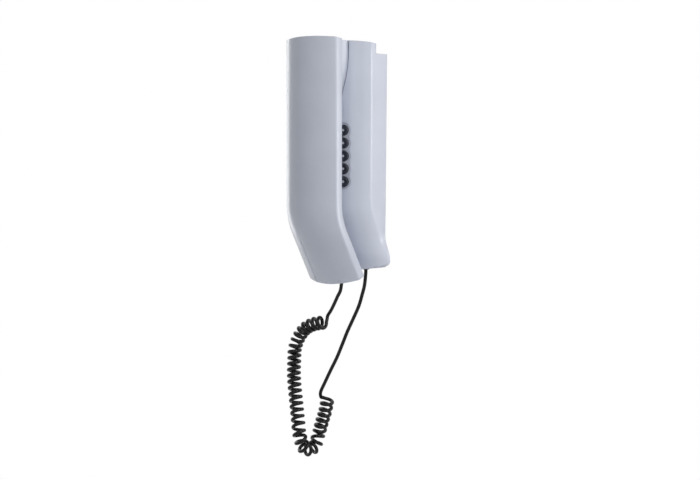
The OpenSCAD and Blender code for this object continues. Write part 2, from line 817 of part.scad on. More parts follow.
module key_board_screws() {
    color(steel) for (up = [-1, 1])
        on_flank(up * key_post_up) translate([0, 0, -board_drop - board_t]) {
            translate([0, 0, -head_t]) cylinder(r = head_r - fit_gap, h = head_t);
            cylinder(r = shaft_r, h = board_t + board_drop - base_wall - past);
        }
}

module main_board() {
    color(board_green) difference() {
        translate([-board_w / 2, -board_off, -board_low]) cube([board_w, board_t, board_top + board_low]);
        for (x = [-1, 1], z = board_post_z)
            rod(pilot_r + screw_gap, x * board_post_x, z, board_off - board_t - past, board_off + past);
    }
}

module board_screws() {
    color(steel) for (x = [-1, 1], z = board_post_z) {
        rod(head_r - fit_gap, x * board_post_x, z, board_off - board_t - head_t, board_off - board_t);
        rod(shaft_r, x * board_post_x, z, board_off - board_t, board_off + shaft_len - 2 * past);
    }
}

// Lever in Y and Z about its pin: a hub, an arm up to the nose and a tail on the switch
hub_r = 2.6;
arm_w = 2.6;
nose_h = 4;
nose_reach = cup_off - rest_gap - hook_off;
tail_len = 6.5;
tail_t = 2;
elbow = 2.6;
arm_len = sqrt(nose_rise * nose_rise + elbow * elbow);
module hook_lever() {
    color(black) translate([-lever_w / 2, -hook_off, hook_z]) rotate([90, 0, 90]) linear_extrude(lever_w)
        difference() {
            union() {
                circle(hub_r);
                rotate(atan2(nose_rise, -elbow)) translate([0, -arm_w / 2]) square([arm_len, arm_w]);
                translate([nose_h / 2 - nose_reach, nose_rise]) circle(nose_h / 2);
                translate([nose_h / 2 - nose_reach, nose_rise - nose_h / 2])
                    square([nose_reach - elbow, nose_h]);
                translate([0, -hub_r]) square([tail_len, tail_t]);
            }
            circle(hook_pin_d / 2 + screw_gap);
        }
}

spring_wire = 0.5;
spring_turns = 5;
spring_pitch = 0.8;
pin_left = lever_w / 2 + cheek_gap + cheek_t;
pin_right = pin_left + (spring_turns + 1) * spring_pitch;
module hook_pin() {
    color(steel) translate([-pin_left, -hook_off, hook_z]) rotate([0, 90, 0])
        cylinder(r = hook_pin_d / 2, h = pin_left + pin_right);
}

// One unbroken tube of equal rings
module tube(rings) {
    n = len(rings[0]);
    last = len(rings) - 1;
    polyhedron(
        [for (ring = rings) each ring],
        concat(
            [for (i = [1 : n - 2]) [0, i + 1, i]],
            [for (k = [0 : last - 1], i = [0 : n - 1]) let (a = k * n + i, b = k * n + (i + 1) % n)
                each [[a, b, a + n], [b, b + n, a + n]]],
            [for (i = [1 : n - 2]) [last * n, last * n + i, last * n + i + 1]]));
}
function unit(v) = v / norm(v);
// Ring of n points about a centre, square to a direction, counted from the side that out points to
function ring_at(centre, along, out, r, n) =
    let (t = unit(along), side = unit(out - (out * t) * t), up = cross(t, side))
    [for (i = [0 : n - 1]) let (a = 360 * i / n) centre + r * (cos(a) * side + sin(a) * up)];

spring_rings = 12;
spring_sides = 6;
module hook_spring() {
    r = hook_pin_d / 2 + screw_gap + spring_wire;
    places = [for (i = [0 : spring_turns * spring_rings]) let (a = 360 * i / spring_rings)
        [pin_left + spring_pitch * (i / spring_rings + 1 / 2), -hook_off + r * cos(a), hook_z + r * sin(a)]];
    axis = [0, -hook_off, hook_z];
    last = len(places) - 1;
    color(steel) tube([for (i = [0 : last])
        ring_at(places[i], places[min(last, i + 1)] - places[max(0, i - 1)],
            [0, places[i][1] - axis[1], places[i][2] - axis[2]], spring_wire / 2, spring_sides)]);
}

// Microswitch under the lever's tail
switch_w = 12.8;
switch_h = 6.5;
button_r = 1;
button_h = 2;
button_back = 2;
switch_top = hook_z - hub_r - rest_gap - button_h;
switch_ahead = 2;
switch_d = hook_off - board_off + switch_ahead;
module hook_switch() {
    color(black) {
        translate([-switch_w / 2, -board_off - switch_d, switch_top - switch_h])
            cube([switch_w, switch_d, switch_h]);
        translate([0, -hook_off + tail_len - button_back, switch_top])
            cylinder(r = button_r, h = button_h);
    }
}

ringer_x = -13;
ringer_z = -4;
ringer_hole_r = 2;
ringer_hole_d = 1.5;
module ringer() {
    color(black) difference() {
        rod(ringer_d / 2, ringer_x, ringer_z, board_off, board_off + ringer_t);
        rod(ringer_hole_r, ringer_x, ringer_z, board_off + ringer_t - ringer_hole_d, far);
    }
}

terminal_h = 11;
terminal_d = 8;
terminal_z = -2;
terminal_count = 4;
terminal_r = 1.9;
terminal_sink = 2.5;
terminal_screw_up = 2;
terminal_screw_z = terminal_z + terminal_h / 2 + terminal_screw_up;
terminal_screw_back = 0.7;
terminal_slot_w = 0.6;
terminal_slot_d = 0.6;
wire_hole_back = 2;
function terminal_x(i) = (i - (terminal_count + 1) / 2) * terminal_w / terminal_count;
module terminal_block() {
    rear = board_off - board_t;
    color(terminal_green) difference() {
        translate([-terminal_w / 2, -rear, terminal_z]) cube([terminal_w, terminal_d, terminal_h]);
        for (i = [1 : terminal_count]) {
            rod(terminal_r + screw_gap, terminal_x(i), terminal_screw_z, rear - terminal_d - past,
                rear - terminal_d + terminal_sink);
            translate([terminal_x(i) - terminal_r / 2, wire_hole_back - rear, terminal_z - past])
                cube([terminal_r, terminal_r, terminal_h / 2 + past]);
        }
    }
}

module terminal_screws() {
    rear = board_off - board_t - terminal_d;
    color(steel) for (i = [1 : terminal_count]) difference() {
        rod(terminal_r, terminal_x(i), terminal_screw_z, rear + terminal_screw_back, rear + terminal_sink);
        translate([terminal_x(i) - past, -rear - terminal_screw_back - terminal_slot_d,
                terminal_screw_z - terminal_slot_w / 2])
            cube([2 * past, past, terminal_slot_w]);
    }
}

capacitor_r = 4;
capacitor_t = 10;
capacitor_places = [[-18, -34], [-8, -38]];
module capacitors() {
    color(capacitor_blue) for (at = capacitor_places)
        rod(capacitor_r, at[0], at[1], board_off, board_off + capacitor_t);
}

chip_size = [10, 2.2, 18];
chip_place = [4, -48];
module line_chip() {
    color(black) translate([chip_place[0], -board_off - chip_size[1], chip_place[1]]) cube(chip_size);
}

// Cord: smooth curves through points chosen along the way that it hangs
function between(p, i, t) = let (
        a = p[max(0, i - 1)], b = p[i], c = p[i + 1], d = p[min(len(p) - 1, i + 2)])
    b + 0.5 * t * (c - a + t * (2 * a - 5 * b + 4 * c - d + t * (3 * b - a - 3 * c + d)));

// Middle of the curly stretch; the cord makes two curls from each point to the next
coil_line = [
    [-20, -23.5, -145.5], [-30.5, -24.5, -147.5], [-40, -25.5, -152], [-47, -26.5, -160], [-50.5, -28, -170],
    [-50.5, -29, -180.5], [-50, -30, -191], [-48.5, -31, -201.5], [-46, -32, -212.5], [-43, -33.5, -223.5],
    [-39.5, -35.5, -235], [-36, -37, -248], [-36.2, -30.2, -259.7], [-37.2, -16.8, -259.7],
    [-37.8, -10, -248], [-34, -10, -237.5], [-30, -10, -227.5], [-27, -10.5, -217.5]];
curls = 2;
curl_rings = 8;
coil_sides = 6;
// Horizontal direction that the curly stretch never runs along, and the angle at which the first curl starts
coil_side = unit([0.74, -0.67, 0]);
first_turn = 100;
// Step for the direction of a curve
small_step = 0.01;

curl_last = (len(coil_line) - 1) * curls * curl_rings;
function coil_mid(i, t) = between(coil_line, i, t);
function coil_out(k) = let (
        s = k / (curls * curl_rings), i = min(len(coil_line) - 2, floor(s)),
        along = unit(coil_mid(i, s - i + small_step) - coil_mid(i, s - i - small_step)),
        a = unit(cross(along, coil_side)), b = cross(along, a),
        turn = first_turn + 360 * k / curl_rings)
    cos(turn) * a + sin(turn) * b;
function curl_point(k) = let (s = k / (curls * curl_rings), i = min(len(coil_line) - 2, floor(s)))
    coil_mid(i, s - i) + curl_r * coil_out(k);
curl_points = [for (k = [0 : curl_last]) curl_point(k)];
start_dir = unit(curl_points[1] - curl_points[0]);
end_dir = unit(curl_points[curl_last] - curl_points[curl_last - 1]);
coil_start = curl_points[0] - cord_d * start_dir;
coil_end = curl_points[curl_last] + cord_d * end_dir;

module cord_coil() {
    along = [for (i = [0 : curl_last]) curl_points[min(curl_last, i + 1)] - curl_points[max(0, i - 1)]];
    color(black) tube(concat(
        [ring_at(coil_start, start_dir, coil_out(0), cord_d / 2, coil_sides)],
        [for (k = [0 : curl_last]) ring_at(curl_points[k], along[k], coil_out(k), cord_d / 2, coil_sides)],
        [ring_at(coil_end, end_dir, coil_out(curl_last), cord_d / 2, coil_sides)]));
}

// Straight stretches: from each strain relief to the curls, straight at both ends
tail_sides = 8;
tail_steps = 3;
tail_out = [0, -1, 0.2];
module cord_tail(line) {
    last = len(line) - 1;
    places = concat(
        [for (i = [0 : last - 1], k = [0 : tail_steps - 1]) between(line, i, k / tail_steps)],
        [line[last]]);
    end = len(places) - 1;
    first_dir = line[1] - line[0];
    last_dir = line[last] - line[last - 1];
    color(black) tube([for (i = [0 : end])
        ring_at(places[i], i == 0 ? first_dir : i == end ? last_dir : places[i + 1] - places[i - 1],
            tail_out, cord_d / 2, tail_sides)]);
}

exit_low = -mouth_len - fit_gap - gland_out;
handset_exit = mouth_point([handset_exit_x, -seam_off, exit_low]);
handset_exit_dir = mouth_point([handset_exit_x, -seam_off, exit_low - cord_d]) - handset_exit;
handset_tail = [[-1, -21, -115.5], [-5.5, -20, -121.5], [-11, -18.8, -129], [-16.5, -17, -135]];
base_exit = [base_exit_x, -base_exit_off, base_exit_sink - base_bottom - fit_gap - gland_out];
base_tail = [
    [15.5, -7.5, -111], [13, -8, -120], [10, -9, -130], [4, -10, -142], [-2, -11, -153.5], [-7, -11.5, -164],
    [-13.5, -12, -177], [-21, -12.5, -189.5], [-28, -12.5, -201], [-33.5, -12.2, -210]];

module cord_handset_tail() {
    cord_tail(concat([handset_exit, handset_exit + handset_exit_dir], handset_tail,
        [coil_start - cord_d * start_dir, coil_start]));
}

module cord_base_tail() {
    cord_tail(concat([base_exit, base_exit - [0, 0, cord_d]], base_tail,
        [coil_end + cord_d / 2 * end_dir, coil_end]));
}

base_housing();
rear_plate();
key_bezel();
for (i = [1 : key_count])
    key(i);
key_mat();
key_board();
key_board_screws();
main_board();
board_screws();
hook_lever();
hook_pin();
hook_spring();
hook_switch();
ringer();
terminal_block();
terminal_screws();
capacitors();
line_chip();
cover_screw();
base_cord_gland();
handset_front_shell();
handset_rear_shell();
earpiece_capsule();
earpiece_gasket();
microphone_capsule();
microphone_boot();
handset_screws();
handset_cord_gland();
cord_handset_tail();
cord_coil();
cord_base_tail();
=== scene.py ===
import json
import math
import bpy
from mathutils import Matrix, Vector


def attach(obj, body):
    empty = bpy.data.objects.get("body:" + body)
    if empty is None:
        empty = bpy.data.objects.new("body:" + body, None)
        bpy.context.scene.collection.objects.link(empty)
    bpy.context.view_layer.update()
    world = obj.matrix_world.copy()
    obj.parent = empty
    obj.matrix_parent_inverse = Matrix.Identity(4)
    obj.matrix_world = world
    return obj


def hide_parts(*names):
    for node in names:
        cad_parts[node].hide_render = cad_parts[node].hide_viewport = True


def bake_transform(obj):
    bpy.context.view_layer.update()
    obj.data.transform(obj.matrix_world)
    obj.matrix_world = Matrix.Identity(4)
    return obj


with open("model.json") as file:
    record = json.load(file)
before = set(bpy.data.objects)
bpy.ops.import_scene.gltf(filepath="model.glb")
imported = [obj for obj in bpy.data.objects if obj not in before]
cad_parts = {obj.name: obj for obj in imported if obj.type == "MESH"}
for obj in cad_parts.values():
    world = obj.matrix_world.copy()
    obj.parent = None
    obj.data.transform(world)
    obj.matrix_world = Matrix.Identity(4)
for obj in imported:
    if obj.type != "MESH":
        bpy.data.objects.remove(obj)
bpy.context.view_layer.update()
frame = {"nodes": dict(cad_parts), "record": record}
cadNodes = frame["nodes"]
bodyOf = {n: b for b, names in frame["record"]["behaviour"]["bodies"].items() for n in names}
print("frame loaded:", len(cadNodes), "nodes")

# camera at the photo's place, nearly level and turned to the unit's right side
photoView = {
    "place": (1.0126, -1.1334, -0.0223), "pitch": 88.14, "turn": 42.02, "lens": 87.2, "sensor": 36}


def addCamera(v):
    data = bpy.data.cameras.new("photoCamera")
    data.lens = v["lens"]
    data.sensor_width = v["sensor"]
    camera = bpy.data.objects.new("photoCamera", data)
    camera.location = v["place"]
    camera.rotation_euler = (math.radians(v["pitch"]), 0, math.radians(v["turn"]))
    bpy.context.collection.objects.link(camera)
    bpy.context.scene.camera = camera


addCamera(photoView)
print("camera placed")

# curly cord, with the same points as the solids, in metres
cordForm = {
    "diameter": 0.0032,
    "curlRadius": 0.005,
    "curls": 2,  # from each point of the coil's line to the next
    "rings": 28,  # in each curl
    "solidRings": 8,  # in each curl of the solid, whose ends the tails follow
    "sides": 14,
    "firstSide": (0.0, -1.0, 0.2),
    "firstTurn": 100.0,
    "across": (0.74, -0.67, 0.0),
    "slopeStep": 0.01,  # part of a span, on either side of a point, that gives the line's direction
    "tailSteps": 6,  # from each point of a tail to the next
    "split": 12.5,  # the two halves meet at the bottom of the loop
    "coil": [
        (-0.020, -0.0235, -0.1455), (-0.0305, -0.0245, -0.1475), (-0.040, -0.0255, -0.152),
        (-0.047, -0.0265, -0.160), (-0.0505, -0.028, -0.170), (-0.0505, -0.029, -0.1805),
        (-0.050, -0.030, -0.191), (-0.0485, -0.031, -0.2015), (-0.046, -0.032, -0.2125),
        (-0.043, -0.0335, -0.2235), (-0.0395, -0.0355, -0.235), (-0.036, -0.037, -0.248),
        (-0.0362, -0.0302, -0.2597), (-0.0372, -0.0168, -0.2597), (-0.0378, -0.010, -0.248),
        (-0.034, -0.010, -0.2375), (-0.030, -0.010, -0.2275), (-0.027, -0.0105, -0.2175)],
    "handsetExit": [(0.002, -0.02417, -0.10221), (0.002, -0.02259, -0.10499)],
    "handsetTail": [
        (-0.001, -0.021, -0.1155), (-0.0055, -0.020, -0.1215), (-0.011, -0.0188, -0.129),
        (-0.0165, -0.017, -0.135)],
    "baseExit": [(0.0165, -0.007, -0.09725), (0.0165, -0.007, -0.10045)],
    "baseTail": [
        (0.0155, -0.0075, -0.111), (0.013, -0.008, -0.120), (0.010, -0.009, -0.130),
        (0.004, -0.010, -0.142), (-0.002, -0.011, -0.1535), (-0.007, -0.0115, -0.164),
        (-0.0135, -0.012, -0.177), (-0.021, -0.0125, -0.1895), (-0.028, -0.0125, -0.201),
        (-0.0335, -0.0122, -0.210)],
}


def between(points, i, t):
    a, b = points[max(0, i - 1)], points[i]
    c, d = points[i + 1], points[min(len(points) - 1, i + 2)]
    return b + 0.5 * t * (c - a + t * (2 * a - 5 * b + 4 * c - d + t * (3 * b - a - 3 * c + d)))


def curlPoint(c, line, s):
    i = min(len(line) - 2, int(s))
    step = c["slopeStep"]
    along = (between(line, i, s - i + step) - between(line, i, s - i - step)).normalized()
    first = along.cross(Vector(c["across"]).normalized()).normalized()
    turn = math.radians(c["firstTurn"] + 360 * c["curls"] * s)
    return between(line, i, s - i) + c["curlRadius"] * (
        math.cos(turn) * first + math.sin(turn) * along.cross(first))


def smoothLine(points, steps):
    line = [between(points, i, k / steps) for i in range(len(points) - 1) for k in range(steps)]
    return line + [points[-1]]


def cordPaths(c):
    line = [Vector(p) for p in c["coil"]]
    last = len(line) - 1
    perSpan = c["curls"] * c["rings"]
    curls = [curlPoint(c, line, k / perSpan) for k in range(last * perSpan + 1)]
    ring = 1 / (c["curls"] * c["solidRings"])
    startDir = (curlPoint(c, line, ring) - curlPoint(c, line, 0)).normalized()
    endDir = (curlPoint(c, line, last) - curlPoint(c, line, last - ring)).normalized()
    d = c["diameter"]
    start, end = curls[0] - d * startDir, curls[-1] + d * endDir
    near = [Vector(p) for p in c["handsetExit"] + c["handsetTail"]] + [start - d * startDir, start]
    far = [Vector(p) for p in c["baseExit"] + c["baseTail"]] + [end + d / 2 * endDir, end]
    cut = int(c["split"] * perSpan)
    near = smoothLine(near, c["tailSteps"]) + curls[:cut + 1]
    far = smoothLine(far, c["tailSteps"]) + curls[:cut - 1:-1]
    return near, far


def tubeMesh(name, path, c):
    radius, sides = c["diameter"] / 2, c["sides"]
    side = Vector(c["firstSide"])
    points, faces = [], []
    for i, p in enumerate(path):
        along = (path[min(len(path) - 1, i + 1)] - path[max(0, i - 1)]).normalized()
        side = (side - side.dot(along) * along).normalized()
        up = along.cross(side)
        for k in range(sides):
            a = 2 * math.pi * k / sides
            points.append(p + radius * (math.cos(a) * side + math.sin(a) * up))
    for i in range(len(path) - 1):
        for k in range(sides):
            a, b = i * sides + k, i * sides + (k + 1) % sides
            faces.append((a, b, b + sides, a + sides))
    faces.append(tuple(range(sides - 1, -1, -1)))
    faces.append(tuple(range(len(points) - sides, len(points))))
    mesh = bpy.data.meshes.new(name)
    mesh.from_pydata(points, [], faces)
    mesh.polygons.foreach_set("use_smooth", [True] * len(mesh.polygons))
    piece = bpy.data.objects.new(name, mesh)
    bpy.context.collection.objects.link(piece)
    return piece


def pathLength(path):
    return sum((b - a).length for a, b in zip(path, path[1:]))


nearPath, farPath = cordPaths(cordForm)
nearCord = tubeMesh("cord_handset_half", nearPath, cordForm)
farCord = tubeMesh("cord_base_half", farPath, cordForm)
print("cord:", round(pathLength(nearPath), 3), "m and", round(pathLength(farPath), 3), "m")


# shader maths: a wire wraps a socket, and an expression on wires adds its nodes
class Wire:
    def __init__(self, tree, socket):
        self.tree = tree
        self.socket = socket

    def node(self, kind, settings, inputs, out=0):
        made = self.tree.nodes.new(kind)
        for key, value in settings.items():
            if key == "stops":
                ramp = made.color_ramp
                while len(ramp.elements) < len(value):
                    ramp.elements.new(0.5)
                for stop, (place, shade) in zip(ramp.elements, value):
                    stop.position = place
                    stop.color = (shade, shade, shade, 1)
            else:
                setattr(made, key, value)
        for key, value in inputs.items():
            if isinstance(value, Wire):
                self.tree.links.new(value.socket, made.inputs[key])
            else:
                made.inputs[key].default_value = value
        return Wire(self.tree, made.outputs[out])

    def math(self, operation, a, b):
        return self.node("ShaderNodeMath", {"operation": operation}, {0: a, 1: b})

    def __add__(self, other):
        return self.math("ADD", self, other)

    def __radd__(self, other):
        return self.math("ADD", other, self)

    def __sub__(self, other):
        return self.math("SUBTRACT", self, other)

    def __rsub__(self, other):
        return self.math("SUBTRACT", other, self)

    def __mul__(self, other):
        return self.math("MULTIPLY", self, other)

    def __rmul__(self, other):
        return self.math("MULTIPLY", other, self)

    def noise(self, scale, detail=2.0, rough=0.5):
        return self.node("ShaderNodeTexNoise", {}, {
            "Vector": self, "Scale": scale, "Detail": detail, "Roughness": rough})

    def ramp(self, *stops):
        return self.node("ShaderNodeValToRGB", {"stops": stops}, {0: self})

    def patches(self, p):
        return self.noise(*p["noise"]).ramp((p["from"], 0), (p["to"], 1))

    def shades(self, low, high):
        low, high = (c if isinstance(c, Wire) else (*c, 1) for c in (low, high))
        return self.node("ShaderNodeMix", {"data_type": "RGBA"}, {0: self, 6: low, 7: high}, 2)

    def along(self, direction):
        return self.node(
            "ShaderNodeVectorMath", {"operation": "DOT_PRODUCT"}, {0: self, 1: direction}, 1)


def newMaterial(name, fixed):
    material = bpy.data.materials.new(name)
    material.use_nodes = True
    shader = material.node_tree.nodes["Principled BSDF"]
    for key, value in fixed.items():
        shader.inputs[key].default_value = value
    return material, shader


def placeOn(material):
    place = material.node_tree.nodes.new("ShaderNodeTexCoord")
    return Wire(material.node_tree, place.outputs["Object"])


def plug(shader, wires):
    for key, wire in wires.items():
        wire.tree.links.new(wire.socket, shader.inputs[key])


# a pale dot printed on the middle of each call key
keyDot = {
    "across": (0.92553, 0.378674, 0), "middle": 0.001963, "height": 0.003, "pitch": 0.0112,
    "radius": 0.0011, "shade": (0.50, 0.52, 0.57)}


def printedDots(here, d):
    across = here.along(d["across"]) - d["middle"]
    height = here.along((0, 0, 1)) - d["height"]
    up = height.math("PINGPONG", height, d["pitch"] / 2)
    return up.math("LESS_THAN", across * across + up * up, d["radius"] ** 2)


# moulded plastic: faint flow clouds, fine spark-eroded grain, and duller handled patches
moulding = {
    "ior": 1.53, "relief": 0.0002, "edgeSamples": 6,
    "clouds": {"noise": (28, 3), "from": 0.3, "to": 0.7},
    "specks": {"noise": (1900, 1), "from": 0.35, "to": 0.7},
    "smudges": {"noise": (75, 5, 0.62), "from": 0.46, "to": 0.68},
    "grainForm": (2, 0.6),  # detail and roughness, at each plastic's own scale
    "cloudShare": 0.75,  # of the colour's change, with specks as the rest
    "dulled": 0.03,  # roughness that smudges add, and specks too
}
plasticLooks = {
    "handsetWhite": {
        "dark": (0.585, 0.612, 0.690), "light": (0.625, 0.652, 0.730),
        "rough": 0.20, "gloss": 0.5, "grain": 2600, "bump": 0.05, "edge": 0.0006},
    "baseWhite": {
        "dark": (0.575, 0.602, 0.685), "light": (0.615, 0.642, 0.725),
        "rough": 0.20, "gloss": 0.5, "grain": 2400, "bump": 0.06, "edge": 0.0009},
    "bezelGrey": {
        "dark": (0.43, 0.45, 0.52), "light": (0.47, 0.49, 0.56),
        "rough": 0.36, "gloss": 0.45, "grain": 3000, "bump": 0.05, "edge": 0.0002},
    "keyInk": {
        "dark": (0.012, 0.014, 0.024), "light": (0.018, 0.020, 0.032),
        "rough": 0.16, "gloss": 0.6, "grain": 2000, "bump": 0.02, "edge": 0.0003, "dot": keyDot},
    "capacitorBlue": {
        "dark": (0.012, 0.014, 0.045), "light": (0.018, 0.020, 0.060),
        "rough": 0.25, "gloss": 0.5, "grain": 2000, "bump": 0.02, "edge": 0.0003},
    "darkPlastic": {
        "dark": (0.020, 0.020, 0.023), "light": (0.030, 0.030, 0.034),
        "rough": 0.45, "gloss": 0.4, "grain": 2600, "bump": 0.10, "edge": 0.0002},
    "terminalGreen": {
        "dark": (0.035, 0.16, 0.060), "light": (0.045, 0.19, 0.075),
        "rough": 0.42, "gloss": 0.4, "grain": 2600, "bump": 0.08, "edge": 0.0002},
    "capsuleGrey": {
        "dark": (0.24, 0.245, 0.26), "light": (0.28, 0.285, 0.30),
        "rough": 0.40, "gloss": 0.45, "grain": 2600, "bump": 0.08, "edge": 0.0002},
}


def mouldedPlastic(name, look, m):
    material, shader = newMaterial(name, {"IOR": m["ior"], "Specular IOR Level": look["gloss"]})
    here = placeOn(material)
    clouds, specks, smudges = (here.patches(m[layer]) for layer in ("clouds", "specks", "smudges"))
    grain = here.noise(look["grain"], *m["grainForm"])
    rounded = here.node("ShaderNodeBevel", {"samples": m["edgeSamples"]}, {"Radius": look["edge"]})
    bump = here.node("ShaderNodeBump", {}, {
        "Strength": look["bump"], "Distance": m["relief"], "Height": grain, "Normal": rounded})
    change = m["cloudShare"] * clouds + (1 - m["cloudShare"]) * specks
    colour = change.shades(look["dark"], look["light"])
    if "dot" in look:
        colour = printedDots(here, look["dot"]).shades(colour, look["dot"]["shade"])
    plug(shader, {
        "Base Color": colour,
        "Roughness": look["rough"] + m["dulled"] * smudges + m["dulled"] * specks,
        "Normal": bump})
    return material


finishes = {name: mouldedPlastic(name, look, moulding) for name, look in plasticLooks.items()}

# soft black rubber, grey silicone, and the cord's sheath, which is smoother and shines
softGrain = {
    "relief": 0.0002, "dust": {"noise": (170, 4, 0.6), "from": 0.48, "to": 0.78},
    "grainForm": (2, 0.6), "dulled": 0.14}
rubberLooks = {
    "cordSheath": {
        "dark": (0.004, 0.004, 0.005), "light": (0.008, 0.008, 0.009),
        "rough": 0.22, "gloss": 0.2, "grain": 1500, "bump": 0.06},
    "glandRubber": {
        "dark": (0.012, 0.012, 0.013), "light": (0.022, 0.022, 0.024),
        "rough": 0.55, "gloss": 0.35, "grain": 2200, "bump": 0.20},
    "matSilicone": {
        "dark": (0.17, 0.175, 0.18), "light": (0.22, 0.225, 0.23),
        "rough": 0.60, "gloss": 0.35, "grain": 2200, "bump": 0.15},
}


def softRubber(name, look, g):
    material, shader = newMaterial(name, {"Specular IOR Level": look["gloss"]})
    here = placeOn(material)
    dust = here.patches(g["dust"])
    grain = here.noise(look["grain"], *g["grainForm"])
    bump = here.node("ShaderNodeBump", {}, {
        "Strength": look["bump"], "Distance": g["relief"], "Height": grain})
    plug(shader, {
        "Base Color": dust.shades(look["dark"], look["light"]),
        "Roughness": look["rough"] + g["dulled"] * dust,
        "Normal": bump})
    return material


finishes.update({name: softRubber(name, look, softGrain) for name, look in rubberLooks.items()})

# zinc-plated steel with fine drawing lines
steelLook = {
    "stretch": (1, 1, 14), "lines": (420, 3, 0.6), "bump": 0.12, "relief": 0.0001,
    "stains": {"noise": (260, 4), "from": 0.45, "to": 0.75},
    "clean": (0.60, 0.61, 0.63), "stained": (0.44, 0.43, 0.41),
    "rough": 0.24, "roughStains": 0.18, "roughLines": 0.08}
# lacquered board with faint glass weave
boardLook = {
    "gloss": 0.5, "weave": 900, "threads": ((1, 1, 1, 1), (0.8, 0.8, 0.8, 1)), "gaps": (0, 0, 0, 1),
    "clouds": {"noise": (60, 3), "from": 0.3, "to": 0.7},
    "dark": (0.010, 0.085, 0.035), "light": (0.016, 0.115, 0.050), "rough": 0.30, "roughWeave": 0.12}


def platedSteel(name, look):
    material, shader = newMaterial(name, {"Metallic": 1.0})
    here = placeOn(material)
    stretched = here.node("ShaderNodeMapping", {}, {"Vector": here, "Scale": look["stretch"]})
    lines = stretched.noise(*look["lines"])
    stains = here.patches(look["stains"])
    bump = here.node("ShaderNodeBump", {}, {
        "Strength": look["bump"], "Distance": look["relief"], "Height": lines})
    plug(shader, {
        "Base Color": stains.shades(look["clean"], look["stained"]),
        "Roughness": look["rough"] + look["roughStains"] * stains + look["roughLines"] * lines,
        "Normal": bump})
    return material


def lacqueredBoard(name, look):
    material, shader = newMaterial(name, {"Specular IOR Level": look["gloss"]})
    here = placeOn(material)
    weave = here.node("ShaderNodeTexBrick", {}, {
        "Vector": here, "Scale": look["weave"], "Color1": look["threads"][0],
        "Color2": look["threads"][1], "Mortar": look["gaps"]}, 1)
    clouds = here.patches(look["clouds"])
    plug(shader, {
        "Base Color": clouds.shades(look["dark"], look["light"]),
        "Roughness": look["rough"] + look["roughWeave"] * weave})
    return material


finishes["zincSteel"] = platedSteel("zincSteel", steelLook)
finishes["greenBoard"] = lacqueredBoard("greenBoard", boardLook)
print("finishes mixed:", len(finishes))

pickNear = 1e-5  # a picked point lies this near its plane, in metres
exact = 1e-6  # for cuts and points that fall together


# working by hand in edit mode
def bareStart():
    if bpy.context.mode != "OBJECT":
        bpy.ops.object.mode_set(mode="OBJECT")
    bpy.ops.object.select_all(action="DESELECT")


def holdPiece(piece):
    bareStart()
    bpy.context.view_layer.objects.active = piece
    piece.select_set(True)


def pick(piece, kind, test):
    bpy.ops.object.mode_set(mode="EDIT")
    bpy.ops.mesh.select_mode(type=kind)
    bpy.ops.mesh.select_all(action="DESELECT")
    bpy.ops.object.mode_set(mode="OBJECT")
    mesh = piece.data
    places = [v.co for v in mesh.vertices]
    if kind == "VERT":
        for v in mesh.vertices:
            v.select = test(v.co)
    else:
        for e in mesh.edges:
            e.select = all(test(places[i]) for i in e.vertices)
    bpy.ops.object.mode_set(mode="EDIT")


def cutAll(point, normal, **more):
    bpy.ops.mesh.select_all(action="SELECT")
    bpy.ops.mesh.bisect(plane_co=point, plane_no=normal, **more)


def mergeAll(distance):
    bpy.ops.mesh.select_all(action="SELECT")
    bpy.ops.mesh.remove_doubles(threshold=distance)


def drawBy(move):
    bpy.ops.mesh.extrude_region_move(TRANSFORM_OT_translate={"value": move})


def applyModifier(piece, kind, settings):
    holdPiece(piece)
    made = piece.modifiers.new(kind.title(), kind)
    for key, value in settings.items():
        setattr(made, key, value)
    bpy.ops.object.modifier_apply(modifier=made.name)


def softEdges(piece, width, steps, angle):
    applyModifier(piece, "BEVEL", {
        "width": width, "segments": steps, "limit_method": "ANGLE",
        "angle_limit": math.radians(angle), "miter_outer": "MITER_ARC", "use_clamp_overlap": True})


def smoothShade(piece, angle):
    holdPiece(piece)
    bpy.ops.object.shade_smooth_by_angle(angle=math.radians(angle))


def dress(piece, finish, *nodes):
    piece.data.materials.clear()
    piece.data.materials.append(finishes[finish])
    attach(piece, bodyOf[nodes[0]])
    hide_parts(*nodes)


# front shell of the handset: a barrel section drawn out, spun round the bend and drawn out again
frontShell = {
    "halfWidth": 0.030, "crown": 0.009, "front": -0.069, "skirt": 0.0068, "wall": 0.0022,
    "circleSides": 192, "corner": 0.0022, "cornerSteps": 6,
    "top": 0.106, "topTilt": 9.0, "topSpare": 0.002,  # the sloping cut takes the spare height off
    "bendStart": -0.039, "bendAxis": -0.008, "bendSteps": 12, "slant": 29.5, "mouth": 0.0465,
    "creaseAt": -0.0155, "creaseHalf": 0.0009, "creaseDeep": 0.0009, "creaseRunIn": 0.003,
    "sortFrom": (0.31, 0.17, 0.53),  # points and faces are ordered by their distance from here
    "innerMerge": 5e-5,  # the inner wall's corners are sharp
    "edge": 0.0008, "edgeSteps": 4, "edgeAngle": 28, "smoothAngle": 32,
}


def barrelRadius(f):
    return (f["halfWidth"] ** 2 + f["crown"] ** 2) / (2 * f["crown"])


def mouthLine(f):
    lean = math.radians(f["slant"])
    return Vector((0, f["bendAxis"], f["bendStart"])), Vector((0, math.sin(lean), -math.cos(lean)))


